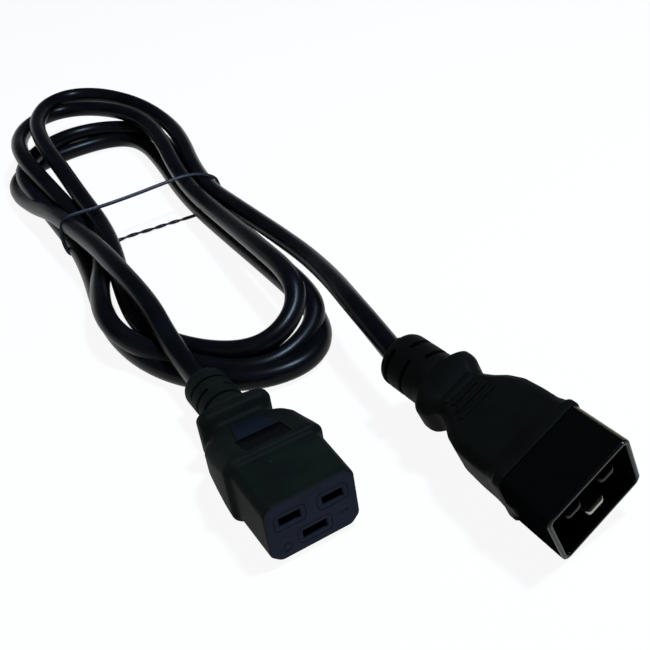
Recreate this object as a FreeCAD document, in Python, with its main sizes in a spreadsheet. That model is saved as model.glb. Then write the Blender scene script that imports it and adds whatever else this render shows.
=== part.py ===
"""C19 to C20 power cord set: two moulded connectors on one coiled round cord.

The origin is under the middle of the C19 connector, which lies flat with its
mating face towards -Y.  The cord leaves its back, runs round a tied coil and
ends in the C20 plug, which lies beside the C19, rolled onto its lower corner.
Each connector is drawn in a frame of its own: the origin is on its axis at the
mating face, +Y runs back along the axis and +Z is up.
"""
import FreeCAD, Part

import math
import os

import Sketcher

V = FreeCAD.Vector
DOC = FreeCAD.newDocument("power_cord_set")

# --------------------------------------------------------------------------
# Driving dimensions, in millimetres and degrees
# --------------------------------------------------------------------------
SIZES = {
    # where the connectors lie
    "female_front_y": -38.0,
    "female_axis_z": 11.6,
    "male_front_x": 59.2,
    "male_front_y": -85.1,
    "male_front_z": 16.05,
    "male_yaw": 6.2,
    "male_pitch": 5.2,
    "male_roll": -21.8,
    # contact layout shared by both connectors
    "pole_pitch": 13.0,
    "line_rise": 3.4,
    "earth_drop": 4.6,
    "blade_thick": 2.0,
    "line_blade_width": 5.8,
    "earth_blade_width": 6.8,
    "slot_width_clearance": 0.6,
    "slot_thick_clearance": 0.7,
    # C19 mating block
    "block_width": 27.6,
    "block_height": 19.8,
    "block_length": 18.5,
    "block_draft": 0.5,
    "block_chamfer": 1.9,
    # C19 grip: its cross-sections, by their distance from the face
    "collar_y": 21.3,
    "collar_half_width": 16.2,
    "collar_half_height": 11.6,
    "chest_y": 31.6,
    "chest_half_width": 15.8,
    "chest_half_height": 8.5,
    "shoulder_y": 37.5,
    "shoulder_half_width": 14.7,
    "shoulder_half_height": 7.0,
    "hip_y": 41.6,
    "hip_half_width": 12.2,
    "hip_half_height": 5.9,
    "waist_y": 43.6,
    "waist_half_width": 9.4,
    "waist_half_height": 5.0,
    "grip_chamfer": 1.7,
    # C19 raised pad on the grip
    "pad_front_half_width": 6.5,
    "pad_rear_half_width": 4.4,
    "pad_rise": 0.5,
    "pad_end_gap": 0.8,
    # C19 pull bar and strain relief
    "bar_y": 47.5,
    "bar_half_width": 11.2,
    "bar_half_height": 8.4,
    "bar_thick": 3.4,
    "bar_chamfer": 2.4,
    "neck_y": 54.5,
    "relief_radius": 7.1,
    "relief_end_y": 76.0,
    "relief_lip": 1.4,
    "relief_slot_width": 1.3,
    "relief_slot_depth": 2.2,
    "relief_slot_angle": 140.0,
    "relief_slot_pitch": 5.4,
    "relief_slot_start": 57.4,
    # C19 contact carrier and contacts
    "sleeve_wall": 1.2,
    "plate_y": 15.0,
    "plate_thick": 3.0,
    "plate_margin": 1.5,
    "contact_front": 1.5,
    "contact_wall": 0.6,
    "contact_length": 12.0,
    "contact_back": 1.0,
    "crimp_radius": 1.7,
    "crimp_length": 7.0,
    # C20 shroud
    "shroud_width": 31.2,
    "shroud_height": 23.4,
    "shroud_length": 17.9,
    "shroud_wall": 1.5,
    "shroud_draft": 0.4,
    "shroud_chamfer": 1.6,
    "recess_chamfer": 0.5,
    "shroud_floor": 3.0,
    # C20 grip
    "plug_collar_half_width": 16.0,
    "plug_collar_half_height": 12.1,
    "plug_brow_y": 20.8,
    "plug_brow_half_height": 11.6,
    "plug_chest_y": 25.0,
    "plug_chest_half_width": 15.9,
    "plug_chest_half_height": 9.6,
    "plug_shoulder_y": 37.5,
    "plug_shoulder_half_width": 15.0,
    "plug_shoulder_half_height": 8.2,
    "plug_hip_y": 44.0,
    "plug_hip_half_width": 12.4,
    "plug_hip_half_height": 7.7,
    "plug_waist_y": 50.0,
    "plug_waist_half_width": 8.8,
    "plug_waist_half_height": 7.4,
    "plug_grip_chamfer": 2.6,
    "lug_y": 19.6,
    "lug_length": 3.2,
    "lug_half_width": 17.2,
    "lug_half_height": 3.0,
    "lug_chamfer": 0.8,
    "rib_y": 42.0,
    "rib_pitch": 2.8,
    "rib_count": 3,
    "rib_width": 0.7,
    "rib_half_length": 6.4,
    "rib_half_height": 8.3,
    "rib_chamfer": 0.2,
    "plug_bar_y": 55.0,
    "plug_bar_half_width": 12.2,
    "plug_bar_half_height": 8.4,
    "plug_bar_thick": 4.0,
    "plug_bar_chamfer": 3.0,
    "plug_neck_y": 63.5,
    "plug_relief_radius": 8.8,
    "plug_relief_end_y": 83.0,
    "plug_slot_start": 66.6,
    "plug_slot_pitch": 7.2,
    "plug_slot_angle": 125.0,
    "plug_slot_count": 4,
    # C20 pins
    "pin_setback": 0.9,
    "pin_tip": 0.9,
    "pin_tail": 3.0,
    # wires inside the cord
    "wire_radius": 0.75,
    "core_radius": 1.35,
    "core_circle": 1.75,
    "sheath_inside": 18.0,
    "core_overrun": 1.0,
    # cord, coil and tie
    "cord_diameter": 7.6,
    "coil_height": 26.0,
    "coil_chamfer": 3.4,
    "tie_y": 173.0,
    "tie_width": 2.0,
    "tie_thick": 0.8,
    "tie_left_x": -9.0,
    "tie_top_z": 17.4,
    "tie_right_x": 65.3,
    "tie_chamfer": 4.0,
}

sheet = DOC.addObject("Spreadsheet::Sheet", "sizes")
for row, (name, value) in enumerate(SIZES.items(), start=1):
    sheet.set("A%d" % row, name)
    sheet.set("B%d" % row, str(value))
    sheet.setAlias("B%d" % row, name)
DOC.recompute()


class Dim:
    """A length or angle that knows both its value and the expression that gives it."""

    def __init__(self, value, text):
        self.value = value
        self.text = text

    def __neg__(self):
        return Dim(-self.value, "-(%s)" % self.text)

    def __add__(self, other):
        other = dim(other)
        return Dim(self.value + other.value, "(%s + %s)" % (self.text, other.text))

    def __sub__(self, other):
        return self + (-dim(other))

    def __mul__(self, factor):
        factor = dim(factor)
        return Dim(self.value * factor.value, "(%s) * (%s)" % (self.text, factor.text))

    def __truediv__(self, factor):
        return Dim(self.value / factor, "(%s) / %s" % (self.text, factor))

    __radd__ = __add__
    __rmul__ = __mul__


def dim(thing):
    """A Dim from a cell's name, a plain number or another Dim."""
    if isinstance(thing, Dim):
        return thing
    if isinstance(thing, str):
        return Dim(float(getattr(sheet, thing)), "sizes." + thing)
    return Dim(float(thing), repr(float(thing)))


def bind(thing, prop, length):
    """Tie a property of an object to the cells that a Dim names."""
    thing.setExpression(prop, dim(length).text)


# --------------------------------------------------------------------------
# Sketches and solids
# --------------------------------------------------------------------------
def new_sketch(body, name, role, back=0):
    """A sketch on one of a body's own planes; back moves it along +Y when the plane is XZ_Plane."""
    sketch = body.newObject("Sketcher::SketchObject", name)
    plane = next(f for f in body.Origin.OriginFeatures if f.Role == role)
    sketch.AttachmentSupport = [(plane, "")]
    sketch.MapMode = "FlatFace"
    bind(sketch, "AttachmentOffset.Base.z", -dim(back))
    return sketch


def fix_distance(sketch, kind, place, other, length):
    """A horizontal or vertical distance between two sketch points, tied to the cells of a Dim."""
    index = sketch.addConstraint(Sketcher.Constraint(kind, *place, *other, length.value))
    sketch.setExpression("Constraints[%d]" % index, length.text)


def draw_polygon(sketch, points):
    """A closed polygon whose every corner is tied to the cells of its two Dims."""
    points = [(dim(x), dim(y)) for x, y in points]
    count = len(points)
    for number in range(count):
        (x0, y0), (x1, y1) = points[number], points[(number + 1) % count]
        sketch.addGeometry(Part.LineSegment(V(x0.value, y0.value, 0), V(x1.value, y1.value, 0)))
    for number in range(count):
        sketch.addConstraint(Sketcher.Constraint("Coincident", number, 2, (number + 1) % count, 1))
    for number, (x, y) in enumerate(points):
        for kind, length in (("DistanceX", x), ("DistanceY", y)):
            if abs(length.value) < 1e-9:
                axis = -2 if kind == "DistanceX" else -1
                sketch.addConstraint(Sketcher.Constraint("PointOnObject", number, 1, axis))
            elif length.value < 0:
                fix_distance(sketch, kind, (number, 1), (-1, 1), -length)
            else:
                fix_distance(sketch, kind, (-1, 1), (number, 1), length)


def rectangle(low_x, low_y, high_x, high_y):
    return [(low_x, low_y), (high_x, low_y), (high_x, high_y), (low_x, high_y)]


def cut_corner_rectangle(half_width, half_height, chamfer):
    """The corners of a rectangle about the origin whose own corners are cut at 45 degrees."""
    w, h, c = dim(half_width), dim(half_height), dim(chamfer)
    return [
        (w, c - h), (w, h - c), (w - c, h), (c - w, h),
        (-w, h - c), (-w, c - h), (c - w, -h), (w - c, -h),
    ]


def octagon_in_circle(radius):
    """The corners of a regular octagon on a circle of this radius."""
    flat = dim(radius) * math.cos(math.pi / 8)
    return cut_corner_rectangle(flat, flat, flat * (1 - math.tan(math.pi / 8)))


def add_loft(body, name, stations, kind="PartDesign::AdditiveLoft"):
    """Join eight-sided sections, each (y, its corners), along the axis with flat faces."""
    sketches = []
    for number, (y, corners) in enumerate(stations):
        sketch = new_sketch(body, "%s_section_%d" % (name, number), "XZ_Plane", y)
        draw_polygon(sketch, corners)
        sketches.append(sketch)
    DOC.recompute()
    loft = body.newObject(kind, name)
    loft.Profile = sketches[0]
    loft.Sections = sketches[1:]
    loft.Ruled = True
    DOC.recompute()
    return loft


def add_turned(body, name, profile):
    """Revolve a profile of (radius, y) corners about the body's Y axis."""
    sketch = new_sketch(body, name + "_profile", "XY_Plane")
    draw_polygon(sketch, profile)
    turned = body.newObject("PartDesign::Revolution", name)
    turned.Profile = sketch
    turned.ReferenceAxis = (sketch, ["V_Axis"])
    turned.Angle = 360
    DOC.recompute()
    return turned


def cut_arc_slot(body, name, role, y, radius, depth, width, angle, side=1):
    """Groove a slot round the Y axis, centred on the X axis (XY_Plane) or the Z axis (YZ_Plane)."""
    sketch = new_sketch(body, name + "_profile", role)
    bottom, top = (dim(radius) - depth) * side, (dim(radius) + depth) * side
    if role == "XY_Plane":
        draw_polygon(sketch, rectangle(bottom, y - dim(width) / 2, top, y + dim(width) / 2))
    else:
        draw_polygon(sketch, rectangle(y - dim(width) / 2, bottom, y + dim(width) / 2, top))
    groove = body.newObject("PartDesign::Groove", name)
    groove.Profile = sketch
    groove.ReferenceAxis = (sketch, ["V_Axis" if role == "XY_Plane" else "H_Axis"])
    groove.Midplane = True
    bind(groove, "Angle", angle)
    DOC.recompute()
    return groove


def repeat_about_axis(body, name, features, count):
    """Repeat features evenly round the body's Y axis."""
    pattern = body.newObject("PartDesign::PolarPattern", name)
    pattern.Originals = features
    axis = next(f for f in body.Origin.OriginFeatures if f.Role == "Y_Axis")
    pattern.Axis = (axis, [""])
    pattern.Angle = 360
    pattern.Occurrences = count
    body.Tip = pattern
    DOC.recompute()
    return pattern


def repeat_along_axis(body, name, features, pitch, count):
    """Repeat features at a pitch along the body's Y axis."""
    pattern = body.newObject("PartDesign::LinearPattern", name)
    pattern.Originals = features
    axis = next(f for f in body.Origin.OriginFeatures if f.Role == "Y_Axis")
    pattern.Direction = (axis, [""])
    bind(pattern, "Length", dim(pitch) * (count - 1))
    pattern.Occurrences = count
    body.Tip = pattern
    DOC.recompute()
    return pattern


def add_box(name, x, z, width, height, front, back):
    """A box from front to back along Y, centred on (x, z)."""
    box = DOC.addObject("Part::Box", name)
    bind(box, "Length", width)
    bind(box, "Width", dim(back) - front)
    bind(box, "Height", height)
    bind(box, "Placement.Base.x", dim(x) - dim(width) / 2)
    bind(box, "Placement.Base.y", front)
    bind(box, "Placement.Base.z", dim(z) - dim(height) / 2)
    return box


def add_rod(name, x, z, radius, front, back):
    """A round rod from front to back along Y."""
    rod = DOC.addObject("Part::Cylinder", name)
    bind(rod, "Radius", radius)
    bind(rod, "Height", dim(back) - front)
    rod.Placement = FreeCAD.Placement(V(0, 0, 0), FreeCAD.Rotation(V(1, 0, 0), -90))
    bind(rod, "Placement.Base.x", x)
    bind(rod, "Placement.Base.y", front)
    bind(rod, "Placement.Base.z", z)
    return rod


def join(name, pieces):
    fuse = DOC.addObject("Part::MultiFuse", name)
    fuse.Shapes = pieces
    fuse.Refine = True
    return fuse


def cut(name, base, tools):
    """Cut one or more pieces from a base."""
    tool = tools[0] if len(tools) == 1 else join(name + "_tools", tools)
    result = DOC.addObject("Part::Cut", name)
    result.Base = base
    result.Tool = tool
    return result


def overlap(name, first, second):
    common = DOC.addObject("Part::MultiCommon", name)
    common.Shapes = [first, second]
    return common


# --------------------------------------------------------------------------
# Cord paths
# --------------------------------------------------------------------------
RUN_SHARE = 0.45


def rounded_path(points, closed=False):
    """Straight runs joined by tangent arcs, each as large as its two runs allow."""
    count = len(points)
    corners = range(count) if closed else range(1, count - 1)
    arcs = {}
    for number in corners:
        before, here, after = points[number - 1], points[number], points[(number + 1) % count]
        back, ahead = before - here, after - here
        half_turn = (math.pi - back.getAngle(ahead)) / 2
        reach = RUN_SHARE * min(back.Length, ahead.Length)
        radius = reach / math.tan(half_turn)
        start = here + back.normalize() * reach
        end = here + ahead.normalize() * reach
        inward = (back + ahead).normalize()
        middle = here + inward * (radius / math.cos(half_turn) - radius)
        arcs[number] = (start, middle, end, radius)
    edges = []
    last = arcs[count - 1][2] if closed else points[0]
    for number in range(0 if closed else 1, count):
        if number not in arcs:
            edges.append(Part.LineSegment(last, points[number]).toShape())
            continue
        start, middle, end, _ = arcs[number]
        edges.append(Part.LineSegment(last, start).toShape())
        edges.append(Part.Arc(start, middle, end).toShape())
        last = end
    return Part.Wire(edges), [arc[3] for arc in arcs.values()]


def tube(points, radius):
    """A round solid along a rounded path, of rods and ring sectors; checks its volume."""
    path, radii = rounded_path(points)
    lengths = []
    for edge in path.Edges:
        start, heading = edge.valueAt(edge.FirstParameter), edge.tangentAt(edge.FirstParameter)
        disc = Part.Face(Part.Wire([Part.Circle(start, heading, radius).toShape()]))
        if isinstance(edge.Curve, Part.Line):
            lengths.append(disc.extrude(heading * edge.Length))
            continue
        centre, axis = edge.Curve.Center, edge.Curve.Axis
        if axis.cross(start - centre).dot(heading) < 0:
            axis = -axis
        lengths.append(disc.revolve(centre, axis, math.degrees(edge.Length / edge.Curve.Radius)))
    solid = lengths[0].multiFuse(lengths[1:]) if len(lengths) > 1 else lengths[0]
    expected = math.pi * radius ** 2 * path.Length
    if abs(solid.Volume - expected) > 0.01 * expected:
        raise ValueError("tube volume %.1f, expected %.1f" % (solid.Volume, expected))
    return solid, radii


def add_tube(name, points, radius):
    piece = DOC.addObject("Part::Feature", name)
    solid, radii = tube(points, radius)
    piece.Shape = solid
    if radii:
        print(name, "bend radii", ["%.1f" % r for r in radii])
    return piece


# --------------------------------------------------------------------------
# What both connectors share
# --------------------------------------------------------------------------
# each pole: name, side across the connector, height above the axis, blade width, angle in the cord
POLES = [
    ("line", 0.5 * dim("pole_pitch"), dim("line_rise"), dim("line_blade_width"), 30),
    ("neutral", -0.5 * dim("pole_pitch"), dim("line_rise"), dim("line_blade_width"), 150),
    ("earth", dim(0), -dim("earth_drop"), dim("earth_blade_width"), 270),
]


def add_barrels(prefix, front, back):
    """A round crimp barrel behind each pole."""
    return [add_rod("%s_%s_barrel" % (prefix, pole), across, rise, "crimp_radius", front, back)
            for pole, across, rise, _, _ in POLES]


def add_wiring(prefix, barrels, start, relief_end):
    """Three insulated wires from the crimp barrels into the end of the cord's sheath."""
    radius = dim("core_radius").value
    circle = dim("core_circle").value
    overrun = dim("core_overrun").value
    inside = dim(relief_end) - "sheath_inside"
    cores, solids = [], []
    sheath_solid = add_rod(prefix + "_sheath_solid", 0, 0, dim("cord_diameter") / 2, inside, relief_end)
    for (pole, side, rise, _, angle), barrel in zip(POLES, barrels):
        across = circle * math.cos(math.radians(angle))
        up = circle * math.sin(math.radians(angle))
        first = V(side.value, dim(start).value, rise.value)
        last = V(across, inside.value, up)
        along = (last - first).normalize() * overrun
        route = [first - along, last + along]
        rod = add_tube("%s_%s_core_rod" % (prefix, pole), route, radius)
        solid = cut("%s_%s_core_solid" % (prefix, pole), rod, [barrel])
        wire = add_tube("%s_%s_wire_rod" % (prefix, pole), route, dim("wire_radius").value)
        cores.append(cut("%s_%s_core" % (prefix, pole), solid, [wire]))
        cores.append(overlap("%s_%s_conductor" % (prefix, pole), solid, wire))
        solids.append(solid)
    sheath = cut(prefix + "_cord_sheath", sheath_solid, solids)
    return cores + [sheath], solids + [sheath_solid]


# --------------------------------------------------------------------------
# C19 connector
# --------------------------------------------------------------------------
def make_female():
    """The C19: moulded grip, contact carrier, three contacts and the wires behind them."""
    moulding = DOC.addObject("PartDesign::Body", "c19_moulding")
    block_width, block_height = dim("block_width") / 2, dim("block_height") / 2
    block_rear = cut_corner_rectangle(block_width + "block_draft", block_height + "block_draft",
                                      "block_chamfer")
    add_loft(moulding, "block", [
        (0, cut_corner_rectangle(block_width, block_height, "block_chamfer")),
        ("block_length", block_rear),
    ])
    waist = cut_corner_rectangle("waist_half_width", "waist_half_height", "grip_chamfer")
    bar = cut_corner_rectangle("bar_half_width", "bar_half_height", "bar_chamfer")
    add_loft(moulding, "grip", [
        ("block_length", block_rear),
        ("collar_y", cut_corner_rectangle("collar_half_width", "collar_half_height", "grip_chamfer")),
        ("chest_y", cut_corner_rectangle("chest_half_width", "chest_half_height", "grip_chamfer")),
        ("shoulder_y", cut_corner_rectangle("shoulder_half_width", "shoulder_half_height", "grip_chamfer")),
        ("hip_y", cut_corner_rectangle("hip_half_width", "hip_half_height", "grip_chamfer")),
        ("waist_y", waist),
    ])
    add_loft(moulding, "pull_bar", [
        ("waist_y", waist),
        ("bar_y", bar),
        (dim("bar_y") + "bar_thick", bar),
        ("neck_y", octagon_in_circle("relief_radius")),
    ])
    pad_front_height = dim("chest_half_height") + "pad_rise"
    pad_rear_height = dim("waist_half_height") + "pad_rise"
    add_loft(moulding, "grip_pads", [
        ("chest_y", cut_corner_rectangle("pad_front_half_width", pad_front_height, "pad_rise")),
        (dim("waist_y") - "pad_end_gap",
         cut_corner_rectangle("pad_rear_half_width", pad_rear_height, "pad_rise")),
    ])
    add_turned(moulding, "relief", [
        (0, dim("neck_y")),
        ("relief_radius", dim("neck_y")),
        ("relief_radius", dim("relief_end_y") - "relief_lip"),
        (dim("relief_radius") - "relief_lip", "relief_end_y"),
        (0, dim("relief_end_y")),
    ])
    slot = ("relief_radius", "relief_slot_depth", "relief_slot_width", "relief_slot_angle")
    over = cut_arc_slot(moulding, "slot_over", "YZ_Plane", dim("relief_slot_start"), *slot)
    repeat = repeat_about_axis(moulding, "slots_over_under", [over], 2)
    last = cut_arc_slot(moulding, "slot_last", "YZ_Plane",
                        dim("relief_slot_start") + 2 * dim("relief_slot_pitch"), *slot)
    repeat_about_axis(moulding, "slots_last", [last], 2)
    side = cut_arc_slot(moulding, "slot_side", "XY_Plane",
                        dim("relief_slot_start") + "relief_slot_pitch", *slot)
    repeat_about_axis(moulding, "slots_side", [side], 2)

    crimp_end = dim("contact_front") + "contact_length" + "crimp_length"
    contact_end = dim("contact_front") + "contact_length"
    barrels = add_barrels("c19", contact_end, crimp_end)
    wiring, wiring_solids = add_wiring("c19", barrels, crimp_end, "relief_end_y")
    sleeves, envelopes, contacts = [], [], []
    for (pole, across, rise, blade, _), barrel in zip(POLES, barrels):
        slot_width = blade + "slot_width_clearance"
        slot_thick = dim("blade_thick") + "slot_thick_clearance"
        width = slot_width + 2 * dim("contact_wall")
        thick = slot_thick + 2 * dim("contact_wall")
        sleeve = add_box("c19_%s_sleeve" % pole, across, rise, width + 2 * dim("sleeve_wall"),
                         thick + 2 * dim("sleeve_wall"), dim(0), "plate_y")
        sleeves.append(sleeve)
        shell = add_box("c19_%s_contact_shell" % pole, across, rise, width, thick,
                        dim("contact_front"), contact_end)
        jaw = add_box("c19_%s_jaw" % pole, across, rise, slot_width, slot_thick,
                      dim(0), contact_end - "contact_back")
        envelope = join("c19_%s_contact_envelope" % pole, [shell, barrel])
        envelopes += [envelope, jaw]
        contacts.append(cut("c19_%s_contact" % pole, envelope, [jaw]))
    plate_width = dim("pole_pitch") + "line_blade_width" + 2 * dim("plate_margin")
    plate_height = dim("line_rise") + "earth_drop" + "blade_thick" + 2 * dim("plate_margin")
    plate = add_box("c19_plate", 0, (dim("line_rise") - "earth_drop") / 2, plate_width, plate_height,
                    dim("plate_y"), dim("plate_y") + "plate_thick")
    carrier_solid = join("c19_carrier_solid", sleeves + [plate])
    carrier = cut("c19_contact_carrier", carrier_solid, envelopes)
    housing = cut("c19_housing", moulding, [carrier_solid] + envelopes + wiring_solids)
    return [housing, carrier] + contacts + wiring


# --------------------------------------------------------------------------
# C20 plug
# --------------------------------------------------------------------------
def make_male():
    """The C20: moulded grip, pin carrier with its open shroud, three pins and their wires."""
    floor_back = dim("shroud_length") + "shroud_floor"
    shroud = DOC.addObject("PartDesign::Body", "c20_shroud")
    half_width, half_height = dim("shroud_width") / 2, dim("shroud_height") / 2
    draft = dim("shroud_draft")
    wall = dim("shroud_wall")
    outside = [
        (0, cut_corner_rectangle(half_width, half_height, "shroud_chamfer")),
        (floor_back, cut_corner_rectangle(half_width - draft, half_height - draft, "shroud_chamfer")),
    ]
    add_loft(shroud, "shroud_outside", outside)
    inner_width, inner_height = half_width - wall, half_height - wall
    add_loft(shroud, "shroud_recess", [
        (0, cut_corner_rectangle(inner_width, inner_height, "recess_chamfer")),
        ("shroud_length", cut_corner_rectangle(inner_width - draft, inner_height - draft, "recess_chamfer")),
    ], "PartDesign::SubtractiveLoft")
    shroud_block = DOC.addObject("PartDesign::Body", "c20_shroud_envelope")
    add_loft(shroud_block, "shroud_block", outside)

    moulding = DOC.addObject("PartDesign::Body", "c20_moulding")
    waist = cut_corner_rectangle("plug_waist_half_width", "plug_waist_half_height", "plug_grip_chamfer")
    bar = cut_corner_rectangle("plug_bar_half_width", "plug_bar_half_height", "plug_bar_chamfer")
    add_loft(moulding, "plug_grip", [
        ("shroud_length", cut_corner_rectangle("plug_collar_half_width", "plug_collar_half_height",
                                               "plug_grip_chamfer")),
        ("plug_brow_y", cut_corner_rectangle("plug_collar_half_width", "plug_brow_half_height",
                                             "plug_grip_chamfer")),
        ("plug_chest_y", cut_corner_rectangle("plug_chest_half_width", "plug_chest_half_height",
                                              "plug_grip_chamfer")),
        ("plug_shoulder_y", cut_corner_rectangle("plug_shoulder_half_width", "plug_shoulder_half_height",
                                                 "plug_grip_chamfer")),
        ("plug_hip_y", cut_corner_rectangle("plug_hip_half_width", "plug_hip_half_height",
                                            "plug_grip_chamfer")),
        ("plug_waist_y", waist),
    ])
    add_loft(moulding, "plug_pull_bar", [
        ("plug_waist_y", waist),
        ("plug_bar_y", bar),
        (dim("plug_bar_y") + "plug_bar_thick", bar),
        ("plug_neck_y", octagon_in_circle("plug_relief_radius")),
    ])
    lug = cut_corner_rectangle("lug_half_width", "lug_half_height", "lug_chamfer")
    add_loft(moulding, "lugs", [("lug_y", lug), (dim("lug_y") + "lug_length", lug)])
    rib = cut_corner_rectangle("rib_half_length", "rib_half_height", "rib_chamfer")
    first_rib = add_loft(moulding, "rib", [("rib_y", rib), (dim("rib_y") + "rib_width", rib)])
    repeat_along_axis(moulding, "ribs", [first_rib], "rib_pitch", int(dim("rib_count").value))
    add_turned(moulding, "plug_relief", [
        (0, dim("plug_neck_y")),
        ("plug_relief_radius", dim("plug_neck_y")),
        ("plug_relief_radius", dim("plug_relief_end_y") - "relief_lip"),
        (dim("plug_relief_radius") - "relief_lip", "plug_relief_end_y"),
        (0, dim("plug_relief_end_y")),
    ])
    for number in range(int(dim("plug_slot_count").value)):
        y = dim("plug_slot_start") + (number / 2) * dim("plug_slot_pitch")
        side = 1 if number % 2 == 0 else -1
        cut_arc_slot(moulding, "plug_slot_%d" % number, "XY_Plane", y, "plug_relief_radius",
                     "relief_slot_depth", "relief_slot_width", "plug_slot_angle", side)

    pin_back = floor_back + "pin_tail"
    crimp_end = pin_back + "crimp_length"
    barrels = add_barrels("c20", pin_back, crimp_end)
    wiring, wiring_solids = add_wiring("c20", barrels, crimp_end, "plug_relief_end_y")
    pins, pin_tools = [], []
    for (pole, across, rise, blade, _), barrel in zip(POLES, barrels):
        body = DOC.addObject("PartDesign::Body", "c20_%s_blade" % pole)
        outline = new_sketch(body, "c20_%s_outline" % pole, "XY_Plane")
        front, half = dim("pin_setback"), blade / 2
        shoulder = front + "pin_tip"
        draw_polygon(outline, [
            (half - "pin_tip", front), (half, shoulder), (half, pin_back),
            (-half, pin_back), (-half, shoulder), (dim("pin_tip") - half, front),
        ])
        pad = body.newObject("PartDesign::Pad", "c20_%s_pad" % pole)
        pad.Profile = outline
        pad.Midplane = True
        bind(pad, "Length", "blade_thick")
        bind(body, "Placement.Base.x", across)
        bind(body, "Placement.Base.z", rise)
        pins.append(join("c20_%s_pin" % pole, [body, barrel]))
        pin_tools.append(join("c20_%s_pin_seat" % pole, [body, barrel]))
    carrier = cut("c20_pin_carrier", shroud, pin_tools)
    housing = cut("c20_housing", moulding, [shroud_block] + pin_tools + wiring_solids)
    return [housing, carrier] + pins + wiring


# --------------------------------------------------------------------------
# Cord, coil and tie
# --------------------------------------------------------------------------
# where the cord runs free, from the back of each connector to the coil
FEMALE_TAIL = [V(0, 38, 11.6), V(0, 53, 11.6), V(0, 70, 15.5), V(1, 86, 20)]
MALE_TAIL_TO_COIL = [V(53, 30, 25), V(57.5, 53, 22), V(61.5, 78, 18), V(62, 102, 15.5)]
MALE_TAIL_LEAD = 14.0
# outline of the coil lying on the table, and of the opening in its middle
COIL_OUTSIDE = [
    V(-15, 68, 0), V(-5, 49, 0), V(24, 36, 0), V(50, 42, 0), V(62, 90, 0), V(63, 145, 0), V(67, 195, 0),
    V(76, 240, 0), V(76, 290, 0), V(46, 322, 0), V(8, 318, 0), V(-13, 280, 0), V(-15, 235, 0),
    V(-8, 172, 0), V(-17, 112, 0),
]
COIL_INSIDE = [
    V(12, 62, 0), V(36, 62, 0), V(48, 96, 0), V(50, 165, 0), V(54, 245, 0), V(36, 270, 0), V(16, 260, 0),
    V(10, 190, 0), V(9, 110, 0),
]

# how high the turns reach, as (y, z): low by the C19's cord and where the tie holds them
COIL_CREST = [(20, 14), (60, 15), (105, 20), (150, 16.8), (196, 16.8), (245, 26), (335, 26)]
# the side of the block that trims the coil to that height, outside everything
COIL_SIDE_X = -100


def make_coil(tails):
    """The coil as one ring of the turns' outer shape, with the height that its turns reach."""
    outside, _ = rounded_path(COIL_OUTSIDE, closed=True)
    inside, _ = rounded_path(COIL_INSIDE, closed=True)
    ring = Part.Face(outside).cut(Part.Face(inside)).Faces[0].extrude(V(0, 0, dim("coil_height").value))
    level = [e for e in ring.Edges if e.BoundBox.ZMin > 0]
    ring = ring.makeChamfer(dim("coil_chamfer").value, level)
    side = [V(COIL_SIDE_X, y, z) for y, z in COIL_CREST]
    side += [V(COIL_SIDE_X, COIL_CREST[-1][0], 0), V(COIL_SIDE_X, COIL_CREST[0][0], 0)]
    slab = Part.Face(Part.makePolygon(side + side[:1])).extrude(V(-2 * COIL_SIDE_X, 0, 0))
    coil = DOC.addObject("Part::Feature", "coil_solid")
    coil.Shape = ring.common(slab)
    return cut("cord_coil", coil, tails)


def make_tie():
    """A flat band round both sides of the coil, from the table up and over, pressed into the turns."""
    tie = DOC.addObject("PartDesign::Body", "cable_tie")
    half_width = (dim("tie_right_x") - "tie_left_x") / 2
    half_height = dim("tie_top_z") / 2
    outer = new_sketch(tie, "tie_outside", "XZ_Plane")
    draw_polygon(outer, cut_corner_rectangle(half_width, half_height, "tie_chamfer"))
    inner = new_sketch(tie, "tie_inside", "XZ_Plane")
    draw_polygon(inner, cut_corner_rectangle(half_width - "tie_thick", half_height - "tie_thick",
                                             dim("tie_chamfer") - dim("tie_thick") * 0.6))
    for kind, sketch in (("PartDesign::Pad", outer), ("PartDesign::Pocket", inner)):
        band = tie.newObject(kind, sketch.Name + "_band")
        band.Profile = sketch
        band.Midplane = True
        bind(band, "Length", "tie_width")
        DOC.recompute()
    bind(tie, "Placement.Base.x", (dim("tie_left_x") + "tie_right_x") / 2)
    bind(tie, "Placement.Base.y", "tie_y")
    bind(tie, "Placement.Base.z", half_height)
    return tie


def place(piece, base, rotation):
    piece.Placement = FreeCAD.Placement(base, rotation)


def main():
    female = make_female()
    male = make_male()
    DOC.recompute()
    female_base = V(0, dim("female_front_y").value, dim("female_axis_z").value)
    for piece in female:
        place(piece, female_base, FreeCAD.Rotation())
    male_base = V(*[dim("male_front_" + axis).value for axis in "xyz"])
    turn = (FreeCAD.Rotation(V(0, 0, 1), dim("male_yaw").value)
            * FreeCAD.Rotation(V(1, 0, 0), dim("male_pitch").value)
            * FreeCAD.Rotation(V(0, 1, 0), dim("male_roll").value))
    for piece in male:
        place(piece, male_base, turn)

    radius = dim("cord_diameter").value / 2
    back = turn.multVec(V(0, 1, 0))
    entry = male_base + back * dim("plug_relief_end_y").value
    female_cord = add_tube("c19_tail_cord", FEMALE_TAIL, radius)
    male_cord = add_tube("c20_tail_cord", [entry, entry + back * MALE_TAIL_LEAD] + MALE_TAIL_TO_COIL, radius)
    tie = make_tie()
    coil = make_coil([female_cord, male_cord, tie])
    pieces = female + male + [female_cord, male_cord, coil, tie]
    DOC.recompute()
    export(pieces)


def export(pieces):
    """Check every object, then write each sub-part under its own name."""
    failed = [o.Name for o in DOC.Objects if "Invalid" in o.State or "Error" in o.State]
    failed += [p.Name for p in pieces if p.Shape.isNull() or not p.Shape.isValid()]
    if failed:
        raise ValueError("failed: %s" % failed)
    os.makedirs("parts", exist_ok=True)
    for piece in pieces:
        piece.Label = piece.Name
        piece.Shape.exportStep("parts/%s.step" % piece.Label)


main()
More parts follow.
